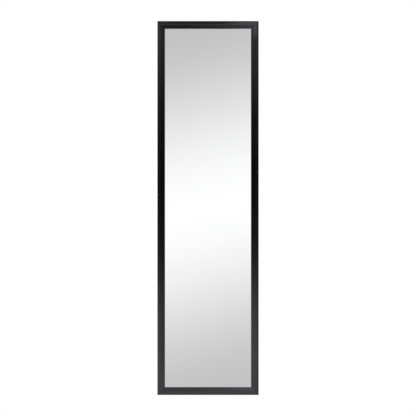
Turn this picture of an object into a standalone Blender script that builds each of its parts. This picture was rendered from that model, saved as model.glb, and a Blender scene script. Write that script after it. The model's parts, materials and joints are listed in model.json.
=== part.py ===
"""Over-the-door mirror: a pane of silvered glass in a mitred black moulding, hung on two slotted
steel hooks that are stowed behind the stiles and slide up to reach over a door.

The origin is on the door's top edge, midway between the hooks, on the door face that the mirror
hangs against. The glass faces -Y and +Z is up. Lengths are in metres.
"""

from math import cos, pi, radians, sin, sqrt

import bmesh
import bpy
from mathutils import Matrix, Vector

# Driving dimensions: pane and backing board
GLASS_WIDTH = 0.3048
GLASS_HEIGHT = 1.2192
GLASS_THICKNESS = 0.003
GLASS_ARRIS = 0.0005
GLASS_PLAY = 0.0008
BACKING_THICKNESS = 0.003
BACKING_PLAY = 0.0012

# Driving dimensions: moulding
FACE_WIDTH = 0.0254
LIP_COVER = 0.0088
LIP_NOSE = 0.0045
NOSE_ROUND = 0.001
FACE_FALL = 0.0045
SHOULDER_WIDTH = 0.0065
SHOULDER_DROP = 0.004
BACK_CHAMFER = 0.0005
MITRE_GAP = 0.0003
FIT_GAP = 0.0003

# Driving dimensions: retaining points and corner nails
POINT_WIDTH = 0.006
POINT_GAUGE = 0.0006
POINT_SHOWN = 0.0075
POINT_DRIVEN = 0.0065
POINT_TIP = 0.0025
POINT_END_WIDTH = 0.002
POINT_RECESS = 0.0025
POINTS_PER_STILE = 5
POINTS_PER_RAIL = 2
NAIL_WING = 0.006
NAIL_GAUGE = 0.0008
NAIL_LENGTH = 0.007
NAILS_PER_CORNER = 2

# Driving dimensions: hanger straps and their felt pads
STRAP_WIDTH = 0.015
STRAP_THICKNESS = 0.0015
STRAP_END = 0.008
END_FLAT = 0.001
BEND_RADIUS = 0.002
LIP_RUN = 0.024
LIP_CORNER = 0.004
FLARE_RUN = 0.006
FLARE_ANGLE = radians(18)
HOOK_SET_DOWN = 0.0025
HOOK_TRAVEL = 0.1
DOOR_THICKNESS = 0.035
DOOR_PLAY = 0.001
FELT_THICKNESS = 0.0015
FELT_MARGIN = 0.0025
FELT_CORNER = 0.002

# Driving dimensions: hanger screws and rubber buttons
SCREW_FROM_TOP = 0.042
SCREW_SPACING = 0.05
SCREW_LENGTH = 0.012
SCREW_TIP = 0.003
SHANK_RADIUS = 0.00175
HEAD_RADIUS = 0.00425
HEAD_HEIGHT = 0.0016
HEAD_EDGE = 0.0004
RECESS_ARM = 0.0021
RECESS_HALF_WIDTH = 0.00045
RECESS_DEPTH = 0.0009
BUMPER_PROUD = 0.0003
BUMPER_RADIUS = 0.005
BUMPER_SEAT_RADIUS = 0.0032
BUMPER_SKIRT = 0.001
BUMPER_INSET = 0.045

# Facets of round stretches, and how far a cut runs past the surface
ROUND_STEPS = 6
FACE_STEPS = 10
TURN_STEPS = 20
CUT_PAST = 0.001
WELD = 1e-6
SHARP_ANGLE = radians(32)

# What follows from the driving dimensions, depths counted forward from the moulding's back
LAND = FACE_WIDTH - LIP_COVER
FRAME_WIDTH = GLASS_WIDTH + 2 * (GLASS_PLAY + LAND)
FRAME_HEIGHT = GLASS_HEIGHT + 2 * (GLASS_PLAY + LAND)
POINT_FRONT = POINT_RECESS + POINT_GAUGE
BACKING_BACK = POINT_FRONT + FIT_GAP
GLASS_BACK = BACKING_BACK + BACKING_THICKNESS + FIT_GAP
REBATE_DEPTH = GLASS_BACK + GLASS_THICKNESS + FIT_GAP
SIGHT_DEPTH = REBATE_DEPTH + LIP_NOSE
MOULDING_DEPTH = SIGHT_DEPTH + FACE_FALL

# What follows behind the moulding, and the heights of the hooks
STRAP_X = (FRAME_WIDTH - LAND) / 2
STRAP_BACK = FIT_GAP + STRAP_THICKNESS
HEAD_SEAT = STRAP_BACK + FIT_GAP
BUMPER_HEIGHT = HEAD_SEAT + HEAD_HEIGHT + BUMPER_PROUD
SLOT_RADIUS = SHANK_RADIUS + FIT_GAP
FRAME_TOP = STRAP_THICKNESS + HOOK_SET_DOWN
UPPER_SCREW_Z = FRAME_TOP - SCREW_FROM_TOP
LOWER_SCREW_Z = UPPER_SCREW_Z - SCREW_SPACING
STRAP_FOOT_Z = LOWER_SCREW_Z - HOOK_TRAVEL - SLOT_RADIUS - STRAP_END
LIP_INNER_Y = DOOR_THICKNESS + DOOR_PLAY + FELT_THICKNESS + FIT_GAP
LEG_INNER_Y = STRAP_BACK - BUMPER_HEIGHT

# Turns about Y that carry the top side's outward direction round to each side
SIDE_TURNS = {"top": 0, "right": pi / 2, "bottom": pi, "left": -pi / 2}
ALONG_X = Matrix.Rotation(pi / 2, 4, "Z")


def finish(name, colour, roughness, metallic=0.0):
    """A plain moulded, sawn, felted or metal finish."""
    material = bpy.data.materials.new(name)
    material.use_nodes = True
    shader = material.node_tree.nodes["Principled BSDF"]
    shader.inputs["Base Color"].default_value = (*colour, 1)
    shader.inputs["Roughness"].default_value = roughness
    shader.inputs["Metallic"].default_value = metallic
    material.diffuse_color = (*colour, 1)
    return material


def shade(mesh):
    """Smooth over round stretches, crisp at edges."""
    mesh.shade_smooth()
    mesh.set_sharp_from_angle(angle=SHARP_ANGLE)


def place_empty(name, location):
    """A bare point that the pieces of one assembly hang on."""
    empty = bpy.data.objects.new(name, None)
    empty.location = location
    bpy.context.scene.collection.objects.link(empty)
    return empty


def place_piece(name, bm, material, parent, location=(0, 0, 0), turn=0.0):
    """Makes one named piece of a bmesh, at its place on its parent and turned about Y."""
    bmesh.ops.recalc_face_normals(bm, faces=bm.faces)
    mesh = bpy.data.meshes.new(name)
    bm.to_mesh(mesh)
    bm.free()
    shade(mesh)
    mesh.materials.append(material)
    piece = bpy.data.objects.new(name, mesh)
    piece.parent = parent
    piece.location = location
    piece.rotation_euler = (0, turn, 0)
    bpy.context.scene.collection.objects.link(piece)
    return piece


def cut(pieces, bm, parent):
    """Takes the solids of a bmesh out of each piece."""
    cutter = place_piece("cutter", bm, pieces[0].data.materials[0], parent)
    for piece in pieces:
        boolean = piece.modifiers.new("cut", "BOOLEAN")
        boolean.operation = "DIFFERENCE"
        boolean.solver = "EXACT"
        boolean.object = cutter
        graph = bpy.context.evaluated_depsgraph_get()
        whole = piece.data
        piece.data = bpy.data.meshes.new_from_object(piece.evaluated_get(graph), depsgraph=graph)
        piece.modifiers.remove(boolean)
        bpy.data.meshes.remove(whole)
        piece.data.name = piece.name
        shade(piece.data)
    bpy.data.objects.remove(cutter, do_unlink=True)


def add_prism(bm, outline, start, end, place=Matrix()):
    """Extrudes an outline of (X, Z) points along Y from start to end."""
    ring = [bm.verts.new(place @ Vector((x, start, z))) for x, z in outline]
    grown = bmesh.ops.extrude_face_region(bm, geom=[bm.faces.new(ring)])["geom"]
    moved = [part for part in grown if isinstance(part, bmesh.types.BMVert)]
    bmesh.ops.translate(bm, verts=moved, vec=place.to_3x3() @ Vector((0, end - start, 0)))


def add_turned(bm, profile, place=Matrix()):
    """Spins a profile of (radius, Y) points, which starts and ends on the axis, about Y."""
    points = [bm.verts.new(place @ Vector((radius, y, 0))) for radius, y in profile]
    lines = [bm.edges.new(pair) for pair in zip(points, points[1:])]
    bmesh.ops.spin(
        bm,
        geom=points + lines,
        cent=place.translation,
        axis=(0, 1, 0),
        angle=2 * pi,
        steps=TURN_STEPS,
        use_merge=True,
    )
    bmesh.ops.remove_doubles(bm, verts=bm.verts, dist=WELD)


def round_edges(bm, edges, radius):
    bmesh.ops.bevel(bm, geom=edges, offset=radius, segments=ROUND_STEPS, profile=0.5, affect="EDGES")


def quarter(steps):
    """Angles that divide a quarter turn evenly, both ends included."""
    return [step / steps * pi / 2 for step in range(steps + 1)]


def shares(count, low, high):
    """Places along a run, each in the middle of its equal share."""
    return [low + (high - low) * (number + 0.5) / count for number in range(count)]


def rectangle(half_width, half_height):
    return [
        (-half_width, -half_height),
        (half_width, -half_height),
        (half_width, half_height),
        (-half_width, half_height),
    ]


def on_frame(x, z, turn=0.0):
    """A place on the moulding's back, turned about Y."""
    return Matrix.Translation((x, 0, z)) @ Matrix.Rotation(turn, 4, "Y")


def moulding_section():
    """The moulding's section as (Y, Z): back at Y 0, outer edge at Z 0, sight edge inward."""
    section = [(BACK_CHAMFER, 0), (0, BACK_CHAMFER)]
    for angle in quarter(ROUND_STEPS):
        shoulder = SHOULDER_WIDTH * (1 - cos(angle))
        section.append((shoulder, MOULDING_DEPTH - SHOULDER_DROP * (1 - sin(angle))))
    slope_width = FACE_WIDTH - NOSE_ROUND - SHOULDER_WIDTH
    for step, angle in enumerate(quarter(FACE_STEPS)[1:], start=1):
        slope = SHOULDER_WIDTH + slope_width * step / FACE_STEPS
        section.append((slope, MOULDING_DEPTH - FACE_FALL * (1 - cos(angle))))
    for angle in quarter(ROUND_STEPS)[1:]:
        nose = FACE_WIDTH - NOSE_ROUND * (1 - sin(angle))
        section.append((nose, SIGHT_DEPTH - NOSE_ROUND * (1 - cos(angle))))
    section += [(FACE_WIDTH, REBATE_DEPTH), (LAND, REBATE_DEPTH), (LAND, 0)]
    return [(-depth, -inward) for inward, depth in section]


def make_moulding(name, side, length, edge_distance):
    """One side of the frame: the section drawn out along the side, then mitred at both ends."""
    bm = bmesh.new()
    add_prism(bm, moulding_section(), -length / 2, length / 2, ALONG_X)
    for corner in bm.verts:
        reach = length / 2 + corner.co.z - MITRE_GAP / sqrt(2)
        corner.co.x = reach if corner.co.x > 0 else -reach
    turn = SIDE_TURNS[side]
    location = (edge_distance * sin(turn), 0, edge_distance * cos(turn))
    return place_piece(name, bm, black_moulding, frame, location, turn)


def make_glass():
    """The pane, with its sharp edges ground off."""
    bm = bmesh.new()
    add_prism(bm, rectangle(GLASS_WIDTH / 2, GLASS_HEIGHT / 2), -GLASS_THICKNESS, 0)
    bmesh.ops.bevel(bm, geom=list(bm.edges), offset=GLASS_ARRIS, segments=1, affect="EDGES")
    place_piece("mirror_glass", bm, silvered_glass, frame, (0, -GLASS_BACK, 0))


def make_backing():
    """The sawn board behind the pane."""
    bm = bmesh.new()
    narrower = GLASS_PLAY - BACKING_PLAY
    outline = rectangle(GLASS_WIDTH / 2 + narrower, GLASS_HEIGHT / 2 + narrower)
    add_prism(bm, outline, -BACKING_THICKNESS, 0)
    place_piece("backing_board", bm, brown_hardboard, frame, (0, -BACKING_BACK, 0))


def nail_places():
    """(X, Z, turn) of each corner nail, shared out along the mitre across the moulding's back."""
    places = []
    for turns in range(4):
        right = 1 if turns in (0, 1) else -1
        up = 1 if turns in (0, 3) else -1
        for number in range(1, NAILS_PER_CORNER + 1):
            inset = LAND * number / (NAILS_PER_CORNER + 1)
            x = right * (FRAME_WIDTH / 2 - inset)
            z = up * (FRAME_HEIGHT / 2 - inset)
            places.append((x, z, turns * pi / 2))
    return places


def nail_outline(gap=0.0):
    """A corner nail on end at the top right corner: apex outward, a wing along each moulding."""
    side = NAIL_GAUGE / 2 + gap
    wing = NAIL_WING + gap
    return [(side, side), (-wing, side), (-wing, -side), (-side, -side), (-side, -wing), (side, -wing)]


def make_nails():
    """Corner nails, pressed into pockets across the mitres."""
    pockets = bmesh.new()
    for number, (x, z, turn) in enumerate(nail_places(), start=1):
        bm = bmesh.new()
        add_prism(bm, nail_outline(), -FIT_GAP - NAIL_LENGTH, -FIT_GAP)
        place_piece(f"corner_nail_{number}", bm, bare_steel, frame, (x, 0, z), turn)
        floor = -NAIL_LENGTH - 2 * FIT_GAP
        add_prism(pockets, nail_outline(FIT_GAP), floor, CUT_PAST, on_frame(x, z, turn))
    cut(mouldings, pockets, frame)


def point_places():
    """(X, Z, turn) where each retaining point enters the rebate wall, clear of the hanger screws."""
    wall_x = FRAME_WIDTH / 2 - LAND
    wall_z = FRAME_HEIGHT / 2 - LAND
    below_screws = FRAME_HEIGHT / 2 - SCREW_FROM_TOP - SCREW_SPACING
    places = []
    for side, sign in (("left", -1), ("right", 1)):
        for z in shares(POINTS_PER_STILE, below_screws, -wall_z):
            places.append((sign * wall_x, z, SIDE_TURNS[side]))
    for side, sign in (("top", 1), ("bottom", -1)):
        for x in shares(POINTS_PER_RAIL, -wall_x, wall_x):
            places.append((x, sign * wall_z, SIDE_TURNS[side]))
    return places


def point_outline():
    """A retaining point seen flat: clipped at the end that shows, tapered where it is driven in."""
    half = POINT_WIDTH / 2
    tip = POINT_END_WIDTH / 2
    driven = POINT_DRIVEN - POINT_TIP
    shown = POINT_TIP - POINT_SHOWN
    driven_end = [(half, driven), (tip, POINT_DRIVEN), (-tip, POINT_DRIVEN), (-half, driven)]
    shown_end = [(-half, shown), (-tip, -POINT_SHOWN), (tip, -POINT_SHOWN), (half, shown)]
    return driven_end + shown_end


def make_points():
    """Retaining points, driven into slots in the rebate wall over the backing board."""
    slots = bmesh.new()
    half = POINT_WIDTH / 2 + FIT_GAP
    end = POINT_DRIVEN + FIT_GAP
    slot = [(-half, -CUT_PAST), (half, -CUT_PAST), (half, end), (-half, end)]
    for number, (x, z, turn) in enumerate(point_places(), start=1):
        bm = bmesh.new()
        add_prism(bm, point_outline(), -POINT_FRONT, -POINT_RECESS)
        place_piece(f"retaining_point_{number:02d}", bm, bare_steel, frame, (x, 0, z), turn)
        add_prism(slots, slot, -POINT_FRONT - FIT_GAP, FIT_GAP - POINT_RECESS, on_frame(x, z, turn))
    cut(mouldings, slots, frame)


def screw_profile():
    """Half section of a truss-head screw, from the crown of its head to its point."""
    crown = HEAD_HEIGHT - HEAD_EDGE
    profile = [(HEAD_RADIUS * sin(a), HEAD_EDGE + crown * cos(a)) for a in quarter(ROUND_STEPS)]
    profile += [(HEAD_RADIUS, 0), (SHANK_RADIUS, 0)]
    profile += [(SHANK_RADIUS, SCREW_TIP - SCREW_LENGTH), (0, -SCREW_LENGTH)]
    return profile


def cross_outline():
    """A cross recess: one arm's end, turned through four quarters."""
    half = RECESS_HALF_WIDTH
    arm = [(half, half), (half, RECESS_ARM), (-half, RECESS_ARM)]
    turns = [Matrix.Rotation(number * pi / 2, 2) for number in range(4)]
    return [turn @ Vector(corner) for turn in turns for corner in arm]


def make_screws():
    """Hanger screws, which clamp the straps to the stiles through their slots."""
    holes = bmesh.new()
    recesses = bmesh.new()
    depth = SCREW_LENGTH - HEAD_SEAT + FIT_GAP
    hole = [(0, CUT_PAST), (SLOT_RADIUS, CUT_PAST), (SLOT_RADIUS, -depth), (0, -depth)]
    crown = HEAD_SEAT + HEAD_HEIGHT
    upper = FRAME_HEIGHT / 2 - SCREW_FROM_TOP
    places = [(sign * STRAP_X, upper - drop) for sign in (-1, 1) for drop in (0, SCREW_SPACING)]
    screws = []
    for number, (x, z) in enumerate(places, start=1):
        bm = bmesh.new()
        add_turned(bm, screw_profile())
        screws.append(place_piece(f"hanger_screw_{number}", bm, zinc_plate, frame, (x, HEAD_SEAT, z)))
        add_turned(holes, hole, on_frame(x, z))
        add_prism(recesses, cross_outline(), crown - RECESS_DEPTH, crown + CUT_PAST, on_frame(x, z))
    cut(mouldings, holes, frame)
    cut(screws, recesses, frame)


def bumper_profile():
    """Half section of a rubber button, from its stuck base to the flat that meets the door."""
    dome = BUMPER_HEIGHT - FIT_GAP - BUMPER_SKIRT
    profile = [(0, FIT_GAP), (BUMPER_RADIUS, FIT_GAP)]
    for angle in quarter(ROUND_STEPS):
        radius = BUMPER_SEAT_RADIUS + (BUMPER_RADIUS - BUMPER_SEAT_RADIUS) * cos(angle)
        profile.append((radius, FIT_GAP + BUMPER_SKIRT + dome * sin(angle)))
    profile.append((0, BUMPER_HEIGHT))
    return profile


def make_bumpers():
    """Rubber buttons stuck on the back of both rails."""
    out = FRAME_WIDTH / 2 - BUMPER_INSET
    up = (FRAME_HEIGHT - LAND) / 2
    for height, z in (("upper", up), ("lower", -up)):
        for side, x in (("left", -out), ("right", out)):
            bm = bmesh.new()
            add_turned(bm, bumper_profile())
            place_piece(f"{height}_{side}_bumper", bm, black_rubber, frame, (x, 0, z))


def strap_stations():
    """(spot, heading) along the strap's middle line in (Y, Z): up the leg, over the door, down the lip."""
    middle_radius = BEND_RADIUS + STRAP_THICKNESS / 2
    leg_run = -BEND_RADIUS - STRAP_FOOT_Z
    bridge_run = LIP_INNER_Y - LEG_INNER_Y - 2 * BEND_RADIUS
    walk = [(leg_run, -pi / 2), (bridge_run, -pi / 2), (LIP_RUN, FLARE_ANGLE), (FLARE_RUN, 0)]
    spot = Vector((LEG_INNER_Y - STRAP_THICKNESS / 2, STRAP_FOOT_Z))
    heading = pi / 2
    stations = [(spot, heading)]
    for run, bend in walk:
        spot = spot + run * Vector((cos(heading), sin(heading)))
        stations.append((spot, heading))
        for _ in range(ROUND_STEPS if bend else 0):
            turn = bend / ROUND_STEPS
            chord = 2 * middle_radius * sin(abs(turn) / 2)
            spot = spot + chord * Vector((cos(heading + turn / 2), sin(heading + turn / 2)))
            heading += turn
            stations.append((spot, heading))
    return stations


def strap_outline(stations):
    """The strap on edge, half its thickness to either side of the middle line."""
    half = STRAP_THICKNESS / 2
    sides = [(spot, half * Vector((-sin(heading), cos(heading)))) for spot, heading in stations]
    return [spot + side for spot, side in sides] + [spot - side for spot, side in reversed(sides)]


def end_edges(bm, end):
    """The two edges through the strap's thickness at the corners of one end."""
    return [
        edge
        for edge in bm.edges
        if abs(edge.verts[0].co.x - edge.verts[1].co.x) < WELD
        and all((Vector((v.co.y, v.co.z)) - end).length < STRAP_THICKNESS for v in edge.verts)
    ]


def slot_outline():
    """The strap's long round-ended slot as (X, Z), from the upper screw to where the lower one ends up."""
    turn = [step / (2 * ROUND_STEPS) * pi for step in range(2 * ROUND_STEPS + 1)]
    foot = LOWER_SCREW_Z - HOOK_TRAVEL
    top_end = [(SLOT_RADIUS * cos(a), UPPER_SCREW_Z + SLOT_RADIUS * sin(a)) for a in turn]
    foot_end = [(-SLOT_RADIUS * cos(a), foot - SLOT_RADIUS * sin(a)) for a in turn]
    return top_end + foot_end


def make_hanger(side, x):
    """A bent, slotted strap with its felt pad, on an empty at the seat of its hook."""
    hanger = place_empty(f"{side}_hanger", (x, 0, 0))
    bm = bmesh.new()
    stations = strap_stations()
    add_prism(bm, strap_outline(stations), -STRAP_WIDTH / 2, STRAP_WIDTH / 2, ALONG_X)
    round_edges(bm, end_edges(bm, stations[0][0]), STRAP_WIDTH / 2 - END_FLAT)
    round_edges(bm, end_edges(bm, stations[-1][0]), min(LIP_CORNER, FLARE_RUN - END_FLAT))
    strap = place_piece(f"{side}_hanger_strap", bm, zinc_plate, hanger)

    slot = bmesh.new()
    leg_front = LEG_INNER_Y - STRAP_THICKNESS
    add_prism(slot, slot_outline(), leg_front - CUT_PAST, LEG_INNER_Y + CUT_PAST)
    cut([strap], slot, hanger)

    bm = bmesh.new()
    outline = rectangle(STRAP_WIDTH / 2 - FELT_MARGIN, LIP_RUN / 2 - FELT_MARGIN)
    add_prism(bm, outline, -FIT_GAP - FELT_THICKNESS, -FIT_GAP)
    corners = [edge for edge in bm.edges if abs(edge.verts[0].co.y - edge.verts[1].co.y) > WELD]
    round_edges(bm, corners, FELT_CORNER)
    place_piece(f"{side}_felt_pad", bm, grey_felt, hanger, (0, LIP_INNER_Y, -BEND_RADIUS - LIP_RUN / 2))


for old in list(bpy.data.objects):
    bpy.data.objects.remove(old, do_unlink=True)

black_moulding = finish("black_satin_moulding", (0.012, 0.012, 0.014), 0.38)
silvered_glass = finish("silvered_glass", (0.88, 0.9, 0.89), 0.02, 1.0)
brown_hardboard = finish("brown_hardboard", (0.24, 0.14, 0.075), 0.8)
bare_steel = finish("bare_steel", (0.42, 0.42, 0.43), 0.4, 1.0)
zinc_plate = finish("zinc_plate", (0.56, 0.57, 0.59), 0.35, 1.0)
grey_felt = finish("grey_felt", (0.1, 0.1, 0.105), 0.95)
black_rubber = finish("black_rubber", (0.02, 0.02, 0.021), 0.6)

frame = place_empty("mirror_frame", (0, -BUMPER_HEIGHT, FRAME_TOP - FRAME_HEIGHT / 2))
mouldings = [
    make_moulding("top_rail", "top", FRAME_WIDTH, FRAME_HEIGHT / 2),
    make_moulding("bottom_rail", "bottom", FRAME_WIDTH, FRAME_HEIGHT / 2),
    make_moulding("left_stile", "left", FRAME_HEIGHT, FRAME_WIDTH / 2),
    make_moulding("right_stile", "right", FRAME_HEIGHT, FRAME_WIDTH / 2),
]
make_glass()
make_backing()
make_nails()
make_points()
make_screws()
make_bumpers()
make_hanger("left", -STRAP_X)
make_hanger("right", STRAP_X)
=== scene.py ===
import json
from math import copysign, cos, hypot, pi, radians, sin, sqrt

import bmesh
import bpy
from mathutils import Matrix, Vector, noise


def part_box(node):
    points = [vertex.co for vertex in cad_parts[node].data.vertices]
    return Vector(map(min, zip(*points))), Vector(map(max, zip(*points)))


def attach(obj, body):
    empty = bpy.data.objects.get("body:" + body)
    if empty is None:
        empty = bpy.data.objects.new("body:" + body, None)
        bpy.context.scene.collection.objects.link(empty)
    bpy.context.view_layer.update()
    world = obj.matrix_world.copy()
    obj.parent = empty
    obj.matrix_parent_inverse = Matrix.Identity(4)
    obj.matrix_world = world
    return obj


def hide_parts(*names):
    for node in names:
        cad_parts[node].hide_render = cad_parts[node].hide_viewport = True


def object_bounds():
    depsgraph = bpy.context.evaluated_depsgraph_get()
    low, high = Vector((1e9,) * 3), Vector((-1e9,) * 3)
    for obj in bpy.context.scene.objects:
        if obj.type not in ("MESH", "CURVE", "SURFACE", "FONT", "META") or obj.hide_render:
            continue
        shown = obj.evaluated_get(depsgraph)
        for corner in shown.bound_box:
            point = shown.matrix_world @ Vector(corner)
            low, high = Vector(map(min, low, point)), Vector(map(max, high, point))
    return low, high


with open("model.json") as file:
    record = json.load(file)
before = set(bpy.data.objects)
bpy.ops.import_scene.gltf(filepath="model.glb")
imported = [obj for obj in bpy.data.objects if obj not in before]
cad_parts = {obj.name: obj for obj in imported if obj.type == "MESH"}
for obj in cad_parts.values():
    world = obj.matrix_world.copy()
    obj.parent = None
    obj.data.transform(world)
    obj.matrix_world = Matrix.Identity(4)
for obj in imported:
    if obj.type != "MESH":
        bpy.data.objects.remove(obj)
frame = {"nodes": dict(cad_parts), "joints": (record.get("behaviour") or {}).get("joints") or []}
cad_low, cad_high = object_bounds()

# Four lengths of one extruded moulding make the mirror's frame. They are foamed plastic with a satin
# black skin, in which the die leaves faint lines, and are cut at 45 degrees to meet in mitres.
MOULDING_RUNS = {"top_rail": "X", "bottom_rail": "X", "left_stile": "Z", "right_stile": "Z"}
SKIN_TONES = [(0.0008, 0.0007, 0.0013), (0.0012, 0.0011, 0.0019), (0.0017, 0.0016, 0.0026)]
SKIN_TINT = (0.9, 0.87, 1.0)
SKIN_GLOSS = 0.5
SKIN_ROUGHNESS = (0.13, 0.16)
SKIN_CLOUD = 0.05
DIE_LINE_PITCH = 0.0006
DIE_LINE_RUN = 0.3
DIE_LINE_DEPTH = 0.000003
PEEL_SIZE = 0.0012
PEEL_DEPTH = 0.000002
EDGE_ANGLE = radians(32)
FACET_JOIN = 0.00001


def add_node(tree, kind, sockets=None, **settings):
    """Adds a node with these settings; a socket takes a plain value or another node's output."""
    node = tree.nodes.new(kind)
    for setting, value in settings.items():
        setattr(node, setting, value)
    for socket, value in (sockets or {}).items():
        if isinstance(value, bpy.types.NodeSocket):
            tree.links.new(value, node.inputs[socket])
        else:
            node.inputs[socket].default_value = value
    return node


def new_finish(name, **constants):
    """A new material, its node tree and its shader, on which it sets what is the same all over."""
    material = bpy.data.materials.new(name)
    material.use_nodes = True
    shader = material.node_tree.nodes["Principled BSDF"]
    for socket, value in constants.items():
        shader.inputs[socket.replace("_", " ")].default_value = value
    return material, material.node_tree, shader


def patches(tree, size, detail=2, stretch=(1, 1, 1), turn=0):
    """Soft random patches of about this size in metres, drawn out along the axes and turned about Y."""
    place = add_node(tree, "ShaderNodeTexCoord").outputs["Object"]
    lie = {"Vector": place, "Scale": [size * longer for longer in stretch], "Rotation": (0, turn, 0)}
    place = add_node(tree, "ShaderNodeMapping", lie, vector_type="TEXTURE").outputs["Vector"]
    sockets = {"Vector": place, "Scale": 1, "Detail": detail}
    return add_node(tree, "ShaderNodeTexNoise", sockets).outputs["Fac"]


def ramp(tree, value, stops, easing="LINEAR"):
    """Colours laid along a value, each at its own place between 0 and 1."""
    node = add_node(tree, "ShaderNodeValToRGB", {"Fac": value})
    node.color_ramp.interpolation = easing
    marks = node.color_ramp.elements
    for number, (at, colour) in enumerate(stops):
        mark = marks[number] if number < 2 else marks.new(at)
        mark.position = at
        mark.color = (*colour, 1)
    return node.outputs["Color"]


def tones(tree, patch, colours, spread=0.5):
    """Colours laid over a patch's middle range, which is this wide, from its low places to its high."""
    start = 0.5 - spread / 2
    step = spread / (len(colours) - 1)
    return ramp(tree, patch, [(start + step * number, colour) for number, colour in enumerate(colours)])


def ranged(tree, patch, low, high, spread=0.5):
    """A number from low to high over a patch's middle range."""
    limits = {"From Min": 0.5 - spread / 2, "From Max": 0.5 + spread / 2, "To Min": low, "To Max": high}
    return add_node(tree, "ShaderNodeMapRange", {"Value": patch, **limits}).outputs["Result"]


def coat(tree, shader, colour, roughness, *bumps):
    """Feeds a shader its colour and roughness, and its bumps, each a patch and its depth in metres."""
    tree.links.new(colour, shader.inputs["Base Color"])
    tree.links.new(roughness, shader.inputs["Roughness"])
    under = {}
    for patch, depth in bumps:
        sockets = {"Height": patch, "Distance": depth, "Strength": 1, **under}
        under = {"Normal": add_node(tree, "ShaderNodeBump", sockets).outputs["Normal"]}
    tree.links.new(under["Normal"], shader.inputs["Normal"])


def make_skin(run):
    """The black skin of a length that runs along X or Z."""
    material, tree, shader = new_finish(
        f"black_skin_along_{run.lower()}", Specular_IOR_Level=SKIN_GLOSS, Specular_Tint=(*SKIN_TINT, 1)
    )
    stretch = [DIE_LINE_RUN / DIE_LINE_PITCH if axis == run else 1 for axis in "XYZ"]
    lines = patches(tree, DIE_LINE_PITCH, detail=3, stretch=stretch)
    clouds = patches(tree, SKIN_CLOUD, detail=3)
    peel = patches(tree, PEEL_SIZE)
    colour = tones(tree, lines, SKIN_TONES)
    roughness = ranged(tree, clouds, *SKIN_ROUGHNESS)
    coat(tree, shader, colour, roughness, (lines, DIE_LINE_DEPTH), (peel, PEEL_DEPTH))
    return material


def make_smoothing():
    """Joins the facets of a piece and shades its round stretches smooth, up to its real edges."""
    group = bpy.data.node_groups.new("smooth_round_stretches", "GeometryNodeTree")
    for way in ("INPUT", "OUTPUT"):
        group.interface.new_socket("Geometry", in_out=way, socket_type="NodeSocketGeometry")
    angle = add_node(group, "GeometryNodeInputMeshEdgeAngle").outputs["Unsigned Angle"]
    limit = {"A": angle, "B": EDGE_ANGLE}
    edge = add_node(group, "FunctionNodeCompare", limit, operation="GREATER_THAN").outputs["Result"]
    steps = [
        ("GeometryNodeMergeByDistance", {"Distance": FACET_JOIN}, {}),
        ("GeometryNodeRemoveAttribute", {"Name": "custom_normal"}, {}),
        ("GeometryNodeSetShadeSmooth", {"Shade Smooth": True}, {"domain": "FACE"}),
        ("GeometryNodeSetShadeSmooth", {"Shade Smooth": False, "Selection": edge}, {"domain": "EDGE"}),
    ]
    whole = add_node(group, "NodeGroupInput").outputs["Geometry"]
    for kind, sockets, settings in steps:
        whole = add_node(group, kind, {"Geometry": whole, **sockets}, **settings).outputs["Geometry"]
    add_node(group, "NodeGroupOutput", {"Geometry": whole})
    return group


def dress(name, material):
    """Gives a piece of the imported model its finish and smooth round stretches."""
    piece = frame["nodes"][name]
    piece.material_slots[0].material = material
    piece.modifiers.new("smooth round stretches", "NODES").node_group = smoothing


smoothing = make_smoothing()
skins = {run: make_skin(run) for run in ("X", "Z")}
for moulding, run in MOULDING_RUNS.items():
    dress(moulding, skins[run])

# Two corner nails across each mitre hold the frame together. They are bent strips of bright steel,
# pressed into the moulding from behind until they sit just under its surface.
STEEL_TONES = [(0.30, 0.295, 0.29), (0.42, 0.42, 0.425), (0.52, 0.52, 0.53)]
STEEL_ROUGHNESS = (0.3, 0.48)
STEEL_BLOTCH = 0.0022
SCRATCH_WIDTH = 0.00012
SCRATCH_STRETCH = 14
SCRATCH_DEPTH = 0.0000015


def make_bare_steel():
    """Rolled strip, with fine scratches and a slightly uneven sheen."""
    material, tree, shader = new_finish("bare_steel", Metallic=1)
    scratches = patches(tree, SCRATCH_WIDTH, stretch=(SCRATCH_STRETCH, 1, 1))
    blotches = patches(tree, STEEL_BLOTCH, detail=4)
    colour = tones(tree, blotches, STEEL_TONES)
    roughness = ranged(tree, scratches, *STEEL_ROUGHNESS)
    coat(tree, shader, colour, roughness, (scratches, SCRATCH_DEPTH))
    return material


def dress_each(kind, material):
    """Dresses every piece of a kind that has numbered copies."""
    for name in sorted(frame["nodes"]):
        if name.startswith(kind):
            dress(name, material)


bare_steel = make_bare_steel()
dress_each("corner_nail", bare_steel)

# The pane is 3 mm float glass, silvered and lacquered on its back, with its edges ground dull.
# It drops into the rebate from behind and rests on the moulding's lip.
SILVER_TONES = [(0.893, 0.897, 0.895), (0.903, 0.906, 0.905)]
WIPE_SIZE = 0.03
WIPE_STRETCH = 4


def make_silver():
    """Silver behind clear glass, with the faintest wipe marks."""
    material, tree, shader = new_finish("silvered_glass", Metallic=1, Roughness=0)
    wipes = patches(tree, WIPE_SIZE, detail=3, stretch=(WIPE_STRETCH, 1, 1))
    tree.links.new(tones(tree, wipes, SILVER_TONES), shader.inputs["Base Color"])
    return material


dress("mirror_glass", make_silver())

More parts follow.
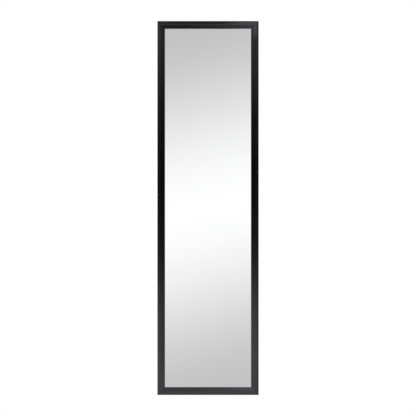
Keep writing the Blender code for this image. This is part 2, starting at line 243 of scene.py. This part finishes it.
# The backing is a sheet of 3 mm hardboard, wood fibre pressed to a smooth brown face, sawn a little
# smaller than the rebate. It lies against the back of the pane and keeps knocks off the silver.
BOARD_TONES = [(0.128, 0.068, 0.033), (0.190, 0.106, 0.053), (0.270, 0.163, 0.088)]
BOARD_CONTRAST = 0.45
BOARD_GLOSS = 0.35
BOARD_ROUGHNESS = (0.5, 0.75)
BOARD_CLOUD = 0.025
FIBRE_SPACING = 0.0011
FIBRE_STRETCH = 5
FIBRE_SHARE = 0.05
FIBRE_PALER = 0.7
FIBRE_DEPTH = 0.00001
FIBRE_TURNS = [radians(turn) for turn in (12, 49, 83, 127, 161)]


def reckon(tree, operation, *values):
    """The result of one sum on these values."""
    return add_node(tree, "ShaderNodeMath", dict(enumerate(values)), operation=operation).outputs[0]


def smooth_step(tree, value, limits, start, end):
    """A number that eases from start to end as a value goes between its limits."""
    low, high = limits
    sockets = {"Value": value, "From Min": low, "From Max": high, "To Min": start, "To Max": end}
    eased = add_node(tree, "ShaderNodeMapRange", sockets, interpolation_type="SMOOTHSTEP")
    return eased.outputs["Result"]


def distance(tree, value, middle=0):
    """How far a value is from a middle one, either way."""
    return reckon(tree, "ABSOLUTE", reckon(tree, "SUBTRACT", value, middle))


def matted(tree, spacing, stretch):
    """Thin fibres this far apart in metres, lying every way over each other: 1 on a fibre, 0 between."""
    mat = 0
    for turn in FIBRE_TURNS:
        patch = patches(tree, spacing, detail=1, stretch=(stretch, 1, 1), turn=turn)
        fibre = smooth_step(tree, distance(tree, patch, 0.5), (0, FIBRE_SHARE), 1, 0)
        mat = reckon(tree, "MAXIMUM", mat, fibre)
    return mat


def make_hardboard():
    """Matted fibres, dark specks of bark, and faint paler and darker clouds from the press."""
    material, tree, shader = new_finish("hardboard", Specular_IOR_Level=BOARD_GLOSS)
    mat = matted(tree, FIBRE_SPACING, FIBRE_STRETCH)
    specks = patches(tree, FIBRE_SPACING / 2, detail=4)
    clouds = patches(tree, BOARD_CLOUD, detail=6)
    mixed = reckon(tree, "MULTIPLY_ADD", mat, FIBRE_PALER, reckon(tree, "ADD", specks, clouds))
    mixed = reckon(tree, "DIVIDE", mixed, 2 + FIBRE_PALER)
    colour = tones(tree, mixed, BOARD_TONES, BOARD_CONTRAST)
    roughness = ranged(tree, mat, *BOARD_ROUGHNESS, spread=1)
    coat(tree, shader, colour, roughness, (mat, FIBRE_DEPTH))
    return material


dress("backing_board", make_hardboard())

# Flat steel points, driven sideways into the wall of the rebate, hold the pane and board in.
# They are the same bright strip as the corner nails, clipped to a blunt point at both ends.
dress_each("retaining_point", bare_steel)

# Each hanger is one strip of zinc plated steel with a long slot, bent twice to hook over a door and
# flared at the end of its lip. It lies against a stile and slides on two screws.
SCREWS = {"left": (1, 2), "right": (3, 4)}
FELT_GLUE = 0.0003
STRIP_THICKNESS = 0.0015
STRIP_EDGE = 0.00025
STRIP_COLUMNS = 3
ROW_SPACING = 0.006
ROUND_STEPS = 10
EDGE_STEPS = 3
BEND_RADIUS = 0.002
FOOT_FLAT = 0.001
LIP_RUN = 0.024
LIP_CORNER = 0.004
FLARE_RUN = 0.006
FLARE_ANGLE = radians(18)
SLOT_RADIUS = 0.00205
ZINC_TONES = [(0.38, 0.395, 0.415), (0.47, 0.485, 0.50), (0.56, 0.565, 0.57)]
ZINC_ROUGHNESS = (0.24, 0.38)
ZINC_CLOUD = 0.007
ZINC_GRAIN = 0.0009
ROLL_MARK_WIDTH = 0.00018
ROLL_MARK_STRETCH = 40
ROLL_MARK_DEPTH = 0.000002


def make_zinc():
    """Bright zinc: cool and pale, with drawn-out roll marks and cloudy patches from the bath."""
    material, tree, shader = new_finish("zinc_plate", Metallic=1)
    marks = patches(tree, ROLL_MARK_WIDTH, stretch=(1, 1, ROLL_MARK_STRETCH))
    clouds = patches(tree, ZINC_CLOUD, detail=5)
    grain = patches(tree, ZINC_GRAIN)
    colour = tones(tree, clouds, ZINC_TONES)
    roughness = ranged(tree, clouds, *ZINC_ROUGHNESS)
    coat(tree, shader, colour, roughness, (marks, ROLL_MARK_DEPTH), (grain, ROLL_MARK_DEPTH))
    return material


def quarter(steps):
    """Angles that divide a quarter turn evenly, both ends included."""
    return [step / steps * pi / 2 for step in range(steps + 1)]


def half_chord(radius, off):
    """Half the width of a circle, this far from its middle."""
    return sqrt(max(radius**2 - off**2, 0))


class Strip:
    """The flat strip that a hanger is bent from, by distance across it and along it from the foot."""

    def __init__(self, side):
        """Takes the strip's sizes from the places of the hanger, its felt, its screws and its slide."""
        low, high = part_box(f"{side}_hanger_strap")
        lip_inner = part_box(f"{side}_felt_pad")[1].y + FELT_GLUE
        screw_boxes = [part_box(f"hanger_screw_{number}") for number in SCREWS[side]]
        upper, lower = (sum(box, Vector()).z / 2 for box in screw_boxes)
        slides = {joint["child"]: joint["range_m"] for joint in frame["joints"]}
        travel = slides[f"{side}_hanger"][1]
        self.x = (low.x + high.x) / 2
        self.half_width = (high.x - low.x) / 2
        self.start = Vector((low.y + STRIP_THICKNESS / 2, low.z))
        self.foot_round = self.half_width - FOOT_FLAT
        self.slot_low = lower - travel - low.z
        self.slot_high = upper - low.z
        middle_radius = BEND_RADIUS + STRIP_THICKNESS / 2
        leg_run = high.z - STRIP_THICKNESS - BEND_RADIUS - low.z
        bridge_run = lip_inner - low.y - STRIP_THICKNESS - 2 * BEND_RADIUS
        bend_run = middle_radius * pi / 2
        self.walk = [
            (leg_run, 0),
            (bend_run, -pi / 2),
            (bridge_run, 0),
            (bend_run, -pi / 2),
            (LIP_RUN, 0),
            (middle_radius * FLARE_ANGLE, FLARE_ANGLE),
            (FLARE_RUN, 0),
        ]
        self.length = sum(run for run, _ in self.walk)

    def bent(self, along, off):
        """Where a place in the strip, this far off its middle layer, is once it is bent, as (Y, Z)."""
        spot = self.start.copy()
        heading = pi / 2
        for run, turn in self.walk:
            step = min(along, run)
            along -= step
            if turn:
                radius = run / turn
                after = heading + step / radius
                spot += radius * Vector((sin(after) - sin(heading), cos(heading) - cos(after)))
                heading = after
            else:
                spot += step * Vector((cos(heading), sin(heading)))
        return spot + off * Vector((-sin(heading), cos(heading)))

    def face_edge(self, along):
        """Half the width of the flat face, which stops short of the strip's softened edge."""
        to_end = self.length - along
        if along < self.foot_round:
            return FOOT_FLAT + half_chord(self.foot_round - STRIP_EDGE, self.foot_round - along)
        if to_end < LIP_CORNER:
            corner = half_chord(LIP_CORNER - STRIP_EDGE, LIP_CORNER - to_end)
            return self.half_width - LIP_CORNER + corner
        return self.half_width - STRIP_EDGE

    def slot_edge(self, along):
        """Half the width that the slot and its softened edge take from the flat face."""
        beyond = max(self.slot_low - along, along - self.slot_high, 0)
        return half_chord(SLOT_RADIUS + STRIP_EDGE, beyond)

    def outward(self, place):
        """Which way the cut edge beside a place on the flat face's rim looks, across and along."""
        across, along = place
        slot_middle = Vector((0, min(max(along, self.slot_low), self.slot_high)))
        if (place - slot_middle).length < SLOT_RADIUS + STRIP_EDGE + FACET_JOIN:
            return (slot_middle - place).normalized()
        if along < self.foot_round:
            core, height = FOOT_FLAT, self.foot_round
        elif along > self.length - LIP_CORNER:
            core, height = self.half_width - LIP_CORNER, self.length - LIP_CORNER
        else:
            core, height = 0, along
        return (place - Vector((min(max(across, -core), core), height))).normalized()

    def rows(self):
        """Distances at which the face is divided: close round its ends, slot and bends, then evenly."""
        rows = []
        for angle in quarter(ROUND_STEPS):
            rows.append(self.foot_round - (self.foot_round - STRIP_EDGE) * cos(angle))
            rows.append(self.slot_low - (SLOT_RADIUS + STRIP_EDGE) * cos(angle))
            rows.append(self.slot_high + (SLOT_RADIUS + STRIP_EDGE) * cos(angle))
            rows.append(self.length - LIP_CORNER + (LIP_CORNER - STRIP_EDGE) * cos(angle))
        passed = 0
        for run, turn in self.walk:
            steps = ROUND_STEPS if turn else max(1, round(run / ROW_SPACING))
            for step in range(steps):
                row = passed + run * step / steps
                if turn or all(abs(row - other) > ROW_SPACING / 4 for other in rows):
                    rows.append(row)
            passed += run
        return sorted(rows)


def fill_rows(bm, rows):
    """Faces between each row of points and the next."""
    for row, after in zip(rows, rows[1:]):
        for column in range(len(row) - 1):
            bm.faces.new((row[column], row[column + 1], after[column + 1], after[column]))


def make_face(strip):
    """One face of the flat strip, as even strakes either side of its slot."""
    bm = bmesh.new()
    shares = [column / STRIP_COLUMNS for column in range(STRIP_COLUMNS + 1)]
    for hand in (-1, 1):
        strakes = []
        for along in strip.rows():
            inner, outer = strip.slot_edge(along), strip.face_edge(along)
            across = [hand * (inner + (outer - inner) * share) for share in shares]
            strakes.append([bm.verts.new((x, along, STRIP_THICKNESS / 2)) for x in across])
        fill_rows(bm, strakes)
    bmesh.ops.remove_doubles(bm, verts=bm.verts, dist=FACET_JOIN)
    return bm


def make_strip(side):
    """The whole strip: its two faces, the softened edge between them, and then its bends."""
    strip = Strip(side)
    bm = make_face(strip)
    angles = quarter(EDGE_STEPS)[1:]
    edge_rings = [(STRIP_EDGE * sin(angle), STRIP_EDGE * (1 - cos(angle))) for angle in angles]
    edge_rings.append((STRIP_EDGE, STRIP_THICKNESS / 2))
    rounds = {}
    for edge in [edge for edge in bm.edges if edge.is_boundary]:
        for vert in edge.verts:
            if vert not in rounds:
                facing = strip.outward(vert.co.xy).to_3d()
                places = [vert.co + out * facing - Vector((0, 0, down)) for out, down in edge_rings]
                rounds[vert] = [vert] + [bm.verts.new(place) for place in places]
        fill_rows(bm, [rounds[vert] for vert in edge.verts])
    bmesh.ops.mirror(bm, geom=bm.verts[:] + bm.edges[:] + bm.faces[:], axis="Z", merge_dist=FACET_JOIN)
    for vert in bm.verts:
        across, along, off = vert.co
        vert.co = (strip.x + across, *strip.bent(along, off))
    return bm


def new_object(name, bm, material):
    """Puts an object of one finish into the scene, made of a bmesh."""
    mesh = bpy.data.meshes.new(name)
    bm.to_mesh(mesh)
    bm.free()
    mesh.materials.append(material)
    made = bpy.data.objects.new(name, mesh)
    bpy.context.scene.collection.objects.link(made)
    return made


def place_piece(name, bm, material, body, node):
    """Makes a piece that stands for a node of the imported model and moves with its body."""
    bmesh.ops.recalc_face_normals(bm, faces=bm.faces)
    piece = new_object(name, bm, material)
    piece.data.shade_smooth()
    piece.data.set_sharp_from_angle(angle=EDGE_ANGLE)
    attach(piece, body)
    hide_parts(node)
    return piece


zinc = make_zinc()
for side in SCREWS:
    hook = f"{side}_slotted_hook"
    hanger = place_piece(hook, make_strip(side), zinc, f"{side}_hanger", f"{side}_hanger_strap")
    hanger.modifiers.new("faces shaded flat", "WEIGHTED_NORMAL").keep_sharp = True

# A pad of pressed grey wool felt is glued inside each hook's lip, so that the hook doesn't scratch the
# door. It is die cut from sheet, with a lumpy face and edges that the press has softened.
FELT_CORNER = 0.002
FELT_EDGE = 0.0005
FELT_CELLS = (34, 62)
FELT_LUMP = 0.0008
FELT_LUMP_DEPTH = 0.00009
FELT_TONES = [(0.052, 0.053, 0.056), (0.098, 0.1, 0.104), (0.17, 0.17, 0.175)]
FELT_GLOSS = 0.1
FELT_BLOOM = 0.35
FELT_BLOOM_SPREAD = 0.6
FELT_ROUGHNESS = (0.85, 1.0)
FELT_FIBRE_SPACING = 0.00045
FELT_FIBRE_STRETCH = 5
FELT_FIBRE_DEPTH = 0.00005


def make_felt():
    """Matted wool: fibres lying every way in three greys, with a soft bloom of loose ends."""
    bloom = {"Sheen_Weight": FELT_BLOOM, "Sheen_Roughness": FELT_BLOOM_SPREAD}
    material, tree, shader = new_finish("grey_felt", Specular_IOR_Level=FELT_GLOSS, **bloom)
    mat = matted(tree, FELT_FIBRE_SPACING, FELT_FIBRE_STRETCH)
    colour = tones(tree, mat, FELT_TONES, spread=1)
    roughness = ranged(tree, mat, *FELT_ROUGHNESS, spread=1)
    coat(tree, shader, colour, roughness, (mat, FELT_FIBRE_DEPTH))
    return material


def felt_point(low, high, u, v, depth):
    """A place on the pad, by u and v from -1 to 1 over it and depth from 0, glued, to 1, at the door."""
    middle = (low + high) / 2
    half = (high - low) / 2
    x, z = u * half.x, v * half.z
    past_x = abs(x) - half.x + FELT_CORNER
    past_z = abs(z) - half.z + FELT_CORNER
    if past_x > 0 and past_z > 0:
        pull = 1 - max(past_x, past_z) / hypot(past_x, past_z)
        x -= copysign(pull * past_x, x)
        z -= copysign(pull * past_z, z)
    inside = min(1 - abs(u), 1 - abs(v)) * half.x
    round_off = FELT_EDGE - half_chord(FELT_EDGE, max(FELT_EDGE - inside, 0))
    dip = FELT_LUMP_DEPTH * (1 - noise.noise(Vector((middle.x + x, 0, z)) / FELT_LUMP)) / 2
    thickness = high.y - low.y - round_off - dip
    return middle.x + x, high.y - depth * thickness, middle.z + z


def net_rim(net):
    """The outer points of a net, in order round it."""
    right = [row[-1] for row in net[1:-1]]
    left = [row[0] for row in net[1:-1]]
    return net[0] + right + net[-1][::-1] + left[::-1]


def join_rims(bm, rim, other):
    """A wall of faces between two closed rims that have the same number of points."""
    for number in range(len(rim)):
        bm.faces.new((rim[number - 1], rim[number], other[number], other[number - 1]))


def make_pad(low, high):
    """The pad's two faces as fine nets, joined round the cut edge."""
    bm = bmesh.new()
    columns, rows = FELT_CELLS
    across = [2 * column / columns - 1 for column in range(columns + 1)]
    up = [2 * row / rows - 1 for row in range(rows + 1)]
    rims = []
    for depth in (0, 1):
        net = [[bm.verts.new(felt_point(low, high, u, v, depth)) for u in across] for v in up]
        fill_rows(bm, net)
        rims.append(net_rim(net))
    join_rims(bm, *rims)
    return bm


felt = make_felt()
for side in SCREWS:
    low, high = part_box(f"{side}_felt_pad")
    high.y += FELT_GLUE
    cut = make_pad(low, high)
    pad = place_piece(f"{side}_wool_pad", cut, felt, f"{side}_hanger", f"{side}_felt_pad")

# Two truss head screws hold each hanger to its stile through the slot. They are zinc plated steel with
# a pressed cross recess, done up by hand, so no two recesses stand at the same angle.
HEAD_RADIUS = 0.00425
HEAD_RIM = 0.0003
HEAD_RIM_STEPS = 4
HEAD_CLEARANCE = 0.00004
SHANK_RADIUS = 0.00175
RECESS_ARM = 0.0021
RECESS_HALF_WIDTH = 0.0005
RECESS_DEPTH = 0.0011
RECESS_TAPER = 0.5
TURNED_STEPS = 48
SCREW_TURNS = {1: radians(14), 2: radians(-27), 3: radians(38), 4: radians(-6)}


def make_turned(profile):
    """A solid turned about Y from its half section, which starts and ends on the axis."""
    bm = bmesh.new()
    points = [bm.verts.new((radius, y, 0)) for radius, y in profile]
    lines = [bm.edges.new(pair) for pair in zip(points, points[1:])]
    turn = {"cent": (0, 0, 0), "axis": (0, 1, 0), "angle": 2 * pi, "steps": TURNED_STEPS}
    bmesh.ops.spin(bm, geom=points + lines, **turn)
    bmesh.ops.remove_doubles(bm, verts=bm.verts, dist=FACET_JOIN)
    return bm


def screw_profile(seat, crown, tip):
    """Half section of a screw from the crown of its head to its end."""
    rim = seat + HEAD_RIM
    dome = crown - rim
    profile = [(HEAD_RADIUS * sin(angle), rim + dome * cos(angle)) for angle in quarter(ROUND_STEPS)]
    for angle in quarter(HEAD_RIM_STEPS)[1:]:
        profile.append((HEAD_RADIUS - HEAD_RIM * (1 - cos(angle)), rim - HEAD_RIM * sin(angle)))
    return profile + [(SHANK_RADIUS, seat), (SHANK_RADIUS, tip), (0, tip)]


def make_recess(crown):
    """A driver's tapered cross to take out of the head, turned so its corners miss the facets' edges."""
    bm = bmesh.new()
    arm = [
        (RECESS_HALF_WIDTH, RECESS_HALF_WIDTH),
        (RECESS_HALF_WIDTH, RECESS_ARM),
        (-RECESS_HALF_WIDTH, RECESS_ARM),
    ]
    half_step = pi / TURNED_STEPS
    turns = [Matrix.Rotation(number * pi / 2 + half_step, 2) for number in range(4)]
    cross = [turn @ Vector(corner) for turn in turns for corner in arm]
    mouth = [bm.verts.new((x, crown + RECESS_DEPTH, z)) for x, z in cross]
    bottom = [bm.verts.new((x * RECESS_TAPER, crown - RECESS_DEPTH, z * RECESS_TAPER)) for x, z in cross]
    bm.faces.new(mouth)
    bm.faces.new(bottom)
    join_rims(bm, mouth, bottom)
    bmesh.ops.recalc_face_normals(bm, faces=bm.faces)
    return bm


def cut_recess(screw, bm):
    """Takes the cross out of a screw's head."""
    cutter = new_object("recess", bm, zinc)
    cutter.matrix_world = screw.matrix_world
    boolean = screw.modifiers.new("recess", "BOOLEAN")
    boolean.solver = "EXACT"
    boolean.object = cutter
    graph = bpy.context.evaluated_depsgraph_get()
    screw.data = bpy.data.meshes.new_from_object(screw.evaluated_get(graph), depsgraph=graph)
    screw.data.set_sharp_from_angle(angle=EDGE_ANGLE)
    screw.modifiers.remove(boolean)
    bpy.data.objects.remove(cutter)


for side, numbers in SCREWS.items():
    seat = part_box(f"{side}_hanger_strap")[0].y + STRIP_THICKNESS + HEAD_CLEARANCE
    for number in numbers:
        node = f"hanger_screw_{number}"
        low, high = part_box(node)
        middle = (low + high) / 2
        solid = make_turned(screw_profile(seat, high.y, low.y))
        screw = place_piece(f"truss_screw_{number}", solid, zinc, "mirror", node)
        screw.location = (middle.x, 0, middle.z)
        screw.rotation_euler = (0, SCREW_TURNS[number], 0)
        bpy.context.view_layer.update()
        cut_recess(screw, make_recess(high.y))

# Four black rubber buttons on the rails' backs keep the mirror off the door. Each is moulded with
# a fine texture and a shallow hollow in its flat seat, and is glued on.
BUTTON_SKIRT = 0.0009
BUTTON_SEAT = 0.66
HOLLOW_RIM = 0.6
HOLLOW_FLOOR = 0.5
HOLLOW_DEPTH = 0.00012
RUBBER_TONES = [(0.010, 0.010, 0.0105), (0.017, 0.017, 0.0175), (0.027, 0.027, 0.027)]
RUBBER_GLOSS = 0.4
RUBBER_ROUGHNESS = (0.5, 0.72)
RUBBER_BLOOM = 0.003
RUBBER_GRAIN = 0.00025
RUBBER_GRAIN_DEPTH = 0.00001


def make_rubber():
    """Moulded rubber: dull, finely grained, with a little bloom."""
    material, tree, shader = new_finish("black_rubber", Specular_IOR_Level=RUBBER_GLOSS)
    grain = patches(tree, RUBBER_GRAIN, detail=3)
    bloom = patches(tree, RUBBER_BLOOM, detail=4)
    colour = tones(tree, bloom, RUBBER_TONES)
    roughness = ranged(tree, bloom, *RUBBER_ROUGHNESS)
    coat(tree, shader, colour, roughness, (grain, RUBBER_GRAIN_DEPTH))
    return material


def button_profile(radius, base, seat):
    """Half section of a button, from its glued base to the shallow hollow of its seat."""
    seat_radius = radius * BUTTON_SEAT
    skirt = base + BUTTON_SKIRT
    hollow = seat - HOLLOW_DEPTH
    profile = [(0, base), (radius, base)]
    for angle in quarter(ROUND_STEPS):
        out = seat_radius + (radius - seat_radius) * cos(angle)
        profile.append((out, skirt + (seat - skirt) * sin(angle)))
    profile.append((seat_radius * HOLLOW_RIM, seat))
    return profile + [(seat_radius * HOLLOW_FLOOR, hollow), (0, hollow)]


rubber = make_rubber()
moulding_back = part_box("top_rail")[1].y
for height in ("upper", "lower"):
    for side in SCREWS:
        node = f"{height}_{side}_bumper"
        low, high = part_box(node)
        middle = (low + high) / 2
        solid = make_turned(button_profile((high.x - low.x) / 2, moulding_back, high.y))
        button = place_piece(f"{height}_{side}_button", solid, rubber, "mirror", node)
        button.location = (middle.x, 0, middle.z)

# The floor is painted pale and lies a door's height below the hooks. It takes the mirror's shadow and
# fades into the white surround. It shows only faintly in the pane, and is clear from below.
DOOR_HEIGHT = 2.03
FLOOR_RADIUS = 4.0
FLOOR_SIDES = 96
FLOOR_TONES = [(0.82, 0.82, 0.82), (0.85, 0.85, 0.85)]
FLOOR_GLOSS = 0.1
FLOOR_ROUGHNESS = 0.9
FLOOR_PATCH = 0.4
FADE = (1.4, 3.2)
FADE_IN_PANE = 0.55


def kinds_of_ray(tree):
    """Marks the eye's own rays, those that come off a gloss or glass, and those off the clean pane."""
    ray = add_node(tree, "ShaderNodeLightPath").outputs
    glossed = reckon(tree, "MAXIMUM", ray["Is Glossy Ray"], ray["Is Transmission Ray"])
    return ray["Is Camera Ray"], glossed, ray["Is Singular Ray"]


def clear_where(tree, share, shader):
    """Makes a surface see-through by this share."""
    clear = add_node(tree, "ShaderNodeBsdfTransparent").outputs[0]
    mixed = add_node(tree, "ShaderNodeMixShader", {0: share, 1: shader, 2: clear}).outputs[0]
    tree.links.new(mixed, tree.nodes["Material Output"].inputs["Surface"])


def make_floor():
    """The floor's paint, and where it fades."""
    gloss = {"Specular_IOR_Level": FLOOR_GLOSS, "Roughness": FLOOR_ROUGHNESS}
    material, tree, shader = new_finish("pale_floor", **gloss)
    tree.links.new(tones(tree, patches(tree, FLOOR_PATCH), FLOOR_TONES), shader.inputs["Base Color"])
    place = add_node(tree, "ShaderNodeTexCoord").outputs["Object"]
    away = add_node(tree, "ShaderNodeVectorMath", {0: place}, operation="LENGTH").outputs["Value"]
    straight, glossed, clean = kinds_of_ray(tree)
    seen = reckon(tree, "MAXIMUM", straight, glossed)
    fade = reckon(tree, "MULTIPLY", smooth_step(tree, away, FADE, 0, 1), seen)
    fade = reckon(tree, "MAXIMUM", fade, reckon(tree, "MULTIPLY", clean, FADE_IN_PANE))
    below = add_node(tree, "ShaderNodeNewGeometry").outputs["Backfacing"]
    clear_where(tree, reckon(tree, "MAXIMUM", fade, below), shader.outputs[0])
    return material


disc = bmesh.new()
bmesh.ops.create_circle(disc, cap_ends=True, segments=FLOOR_SIDES, radius=FLOOR_RADIUS)
floor = new_object("floor", disc, make_floor())
floor.location = (0, 0, -DOOR_HEIGHT)

# The surround is white to the eye. The pane reflects a screen behind the camera, brightest in a tilted
# band at half height. The satin pieces take their sheen from a banded room, which is dark at half height.
# A height here is a direction's: -1 straight down, 0 level and 1 straight up.
SCREEN_GLOW = 1.105
SCREEN_RIM_GLOW = 0.6
SCREEN_REACH = 0.182
SCREEN_TILT = 0.245
SCREEN_IN_SATIN = 0.4
SCREEN_SIDES = (0.02, 0.06)
SCREEN_ENDS = (0.12, 0.2)
ROOM_GLOW_AT_HEIGHT = {
    -0.65: 1.2,
    -0.52: 0.12,
    -0.26: 0.25,
    -0.17: 1.4,
    -0.1: 1.25,
    -0.05: 0.02,
    0.08: 0.02,
    0.14: 0.45,
    0.2: 0.85,
    0.28: 1.0,
    0.5: 1.0,
    0.62: 0.22,
}
ROOM_LEAN = 0.32
GLINT_GLOW = 2.1
GLINT_AT = 0.06
GLINT_REACH = 0.05
GLINT_FROM = (0.09, 0.16)
BACKDROP_GLOW = 0.95
BACKDROP_SIDE_GLOW = 0.3
BACKDROP_SIDES = (0.5, 0.9)
BACKDROP_FROM = (-0.1, 0.35)
AMBIENT = 0.78


def between(tree, share, one, other):
    """A value that goes from one to the other by this share."""
    return add_node(tree, "ShaderNodeMix", {"Factor": share, "A": one, "B": other}).outputs["Result"]


def screen_glow(tree, axes):
    """The screen's glow: brightest along a tilted line and dimmer above and below it."""
    line = reckon(tree, "MULTIPLY", axes["X"], SCREEN_TILT)
    off = distance(tree, axes["Z"], line)
    return smooth_step(tree, off, (0, SCREEN_REACH), SCREEN_GLOW, SCREEN_RIM_GLOW)


def glint_glow(tree, axes):
    """A narrow bright streak beside the camera, above and below the dark height."""
    across = smooth_step(tree, distance(tree, axes["X"], GLINT_AT), (0, GLINT_REACH), GLINT_GLOW, 0)
    up = smooth_step(tree, distance(tree, axes["Z"]), GLINT_FROM, 0, 1)
    return reckon(tree, "MULTIPLY", across, up)


def room_glow(tree, axes, screen):
    """What satin reflects: a banded room, a glint, some of the screen, and a pale backdrop behind."""
    height = reckon(tree, "MULTIPLY_ADD", axes["Z"], 0.5, 0.5)
    stops = [((at + 1) / 2, (glow, glow, glow)) for at, glow in ROOM_GLOW_AT_HEIGHT.items()]
    bands = ramp(tree, height, stops, "EASE")
    lean = reckon(tree, "MULTIPLY_ADD", axes["X"], -ROOM_LEAN, 1)
    sheen = reckon(tree, "MULTIPLY_ADD", bands, lean, glint_glow(tree, axes))
    across = smooth_step(tree, distance(tree, axes["X"]), SCREEN_SIDES, SCREEN_IN_SATIN, 0)
    up = smooth_step(tree, distance(tree, axes["Z"]), SCREEN_ENDS, 1, 0)
    ahead = reckon(tree, "MULTIPLY", reckon(tree, "MULTIPLY", across, up), screen)
    sheen = reckon(tree, "MAXIMUM", sheen, ahead)
    facing = distance(tree, axes["Y"])
    backdrop = smooth_step(tree, facing, BACKDROP_SIDES, BACKDROP_SIDE_GLOW, BACKDROP_GLOW)
    behind = smooth_step(tree, axes["Y"], BACKDROP_FROM, 0, 1)
    return between(tree, behind, sheen, backdrop)


def make_surround():
    """The studio's light: plain on a surface, the room or screen in a gloss, and white to the eye."""
    world = bpy.data.worlds.new("studio")
    world.use_nodes = True
    tree = world.node_tree
    tree.nodes.clear()
    direction = add_node(tree, "ShaderNodeTexCoord").outputs["Generated"]
    axes = add_node(tree, "ShaderNodeSeparateXYZ", {"Vector": direction}).outputs
    straight, glossed, clean = kinds_of_ray(tree)
    screen = screen_glow(tree, axes)
    mirrored = between(tree, clean, room_glow(tree, axes, screen), screen)
    glow = between(tree, straight, between(tree, glossed, AMBIENT, mirrored), 1)
    white = {"Color": (1, 1, 1, 1), "Strength": glow}
    surround = add_node(tree, "ShaderNodeBackground", white).outputs[0]
    add_node(tree, "ShaderNodeOutputWorld", {"Surface": surround})
    return world


bpy.context.scene.world = make_surround()

# Three cards stand close in front of the rails, as a photographer sets them for black gloss, and show
# only in the satin pieces. A white one lights the bottom rail, a dark one shades the top rail's shoulder
# and a bright one makes the glint at its right end. Up is measured from the frame's edge.
RAIL_CARDS = {
    "white_card": dict(
        glow=1.35, fade=(0.05, 0.05), away=0.2, across=(-0.21, 0.21), edge=cad_low.z, up=(-0.21, 0.08)
    ),
    "dark_card": dict(
        glow=0.42, fade=(0.03, 0.025), away=0.1, across=(-0.155, 0.14), edge=cad_high.z, up=(-0.039, 0.246)
    ),
    "bright_card": dict(
        glow=1.7, fade=(0.11, 0.03), away=0.09, across=(0.03, 0.25), edge=cad_high.z, up=(-0.049, 0.071)
    ),
}


def make_card(name, glow, fade, halves):
    """A card of even glow with soft edges, clear to the eye, to the pane and to the lamps."""
    material, tree, shader = new_finish(name)
    tree.nodes.remove(shader)
    place = add_node(tree, "ShaderNodeTexCoord").outputs["Object"]
    axes = add_node(tree, "ShaderNodeSeparateXYZ", {"Vector": place}).outputs
    _, glossed, clean = kinds_of_ray(tree)
    shown = reckon(tree, "GREATER_THAN", glossed, clean)
    for axis, half, soft in zip("XZ", halves, fade):
        inside = smooth_step(tree, distance(tree, axes[axis]), (half - soft, half), 1, 0)
        shown = reckon(tree, "MULTIPLY", shown, inside)
    lit = add_node(tree, "ShaderNodeEmission", {"Strength": glow}).outputs[0]
    clear_where(tree, reckon(tree, "SUBTRACT", 1, shown), lit)
    material.cycles.emission_sampling = "NONE"
    return material


def place_card(name, glow, fade, away, across, edge, up):
    """Stands a card this far in front of the frame."""
    half_width, half_height = ((end - start) / 2 for start, end in (across, up))
    sheet = bmesh.new()
    heights = (-half_height, half_height)
    fill_rows(sheet, [[sheet.verts.new((x, 0, z)) for x in (-half_width, half_width)] for z in heights])
    card = new_object(name, sheet, make_card(name, glow, fade, (half_width, half_height)))
    card.location = (sum(across) / 2, cad_low.y - away, edge + sum(up) / 2)


for name, places in RAIL_CARDS.items():
    place_card(name, **places)

# Two large soft lamps light the pieces: one high in front on the right, and one high behind on the left
# for the mirror's back. The front one is kept out of every gloss, where its hard rim would show.
LAMPS = {
    "front_lamp": dict(place=(1.2, -1.8, 2.4), size=3.0, power=44, in_gloss=False),
    "rear_lamp": dict(place=(-1.3, 2.4, 0.9), size=4.0, power=30, in_gloss=True),
}
mirror_middle = (cad_low + cad_high) / 2


def place_lamp(name, place, size, power, in_gloss):
    """A square lamp that faces the middle of the mirror."""
    light = bpy.data.lights.new(name, "AREA")
    light.size = size
    light.energy = power
    lamp = bpy.data.objects.new(name, light)
    lamp.location = place
    lamp.rotation_euler = (mirror_middle - Vector(place)).to_track_quat("-Z", "Y").to_euler()
    lamp.visible_glossy = in_gloss
    bpy.context.scene.collection.objects.link(lamp)


for name, settings in LAMPS.items():
    place_lamp(name, **settings)

# The camera stands square in front of the mirror, at half its height, as in the photograph. There the
# frame's outline, which lies a little behind its front, is 374 of the image's 416 pixels tall.
CAMERA_DISTANCE = 3.5
OUTLINE_BEHIND_FRONT = 0.004
IMAGE_PIXELS = 416
FRAME_PIXELS = 373.96
SENSOR_WIDTH = 36.0

frame_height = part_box("top_rail")[1].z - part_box("bottom_rail")[0].z
lens = bpy.data.cameras.new("camera")
lens.sensor_width = SENSOR_WIDTH
lens.lens = SENSOR_WIDTH * CAMERA_DISTANCE / (frame_height * IMAGE_PIXELS / FRAME_PIXELS)
camera = bpy.data.objects.new("camera", lens)
camera.location = (0, cad_low.y + OUTLINE_BEHIND_FRONT - CAMERA_DISTANCE, mirror_middle.z)
camera.rotation_euler = (pi / 2, 0, 0)
bpy.context.scene.collection.objects.link(camera)
bpy.context.scene.camera = camera
bpy.context.scene.view_settings.view_transform = "Standard"
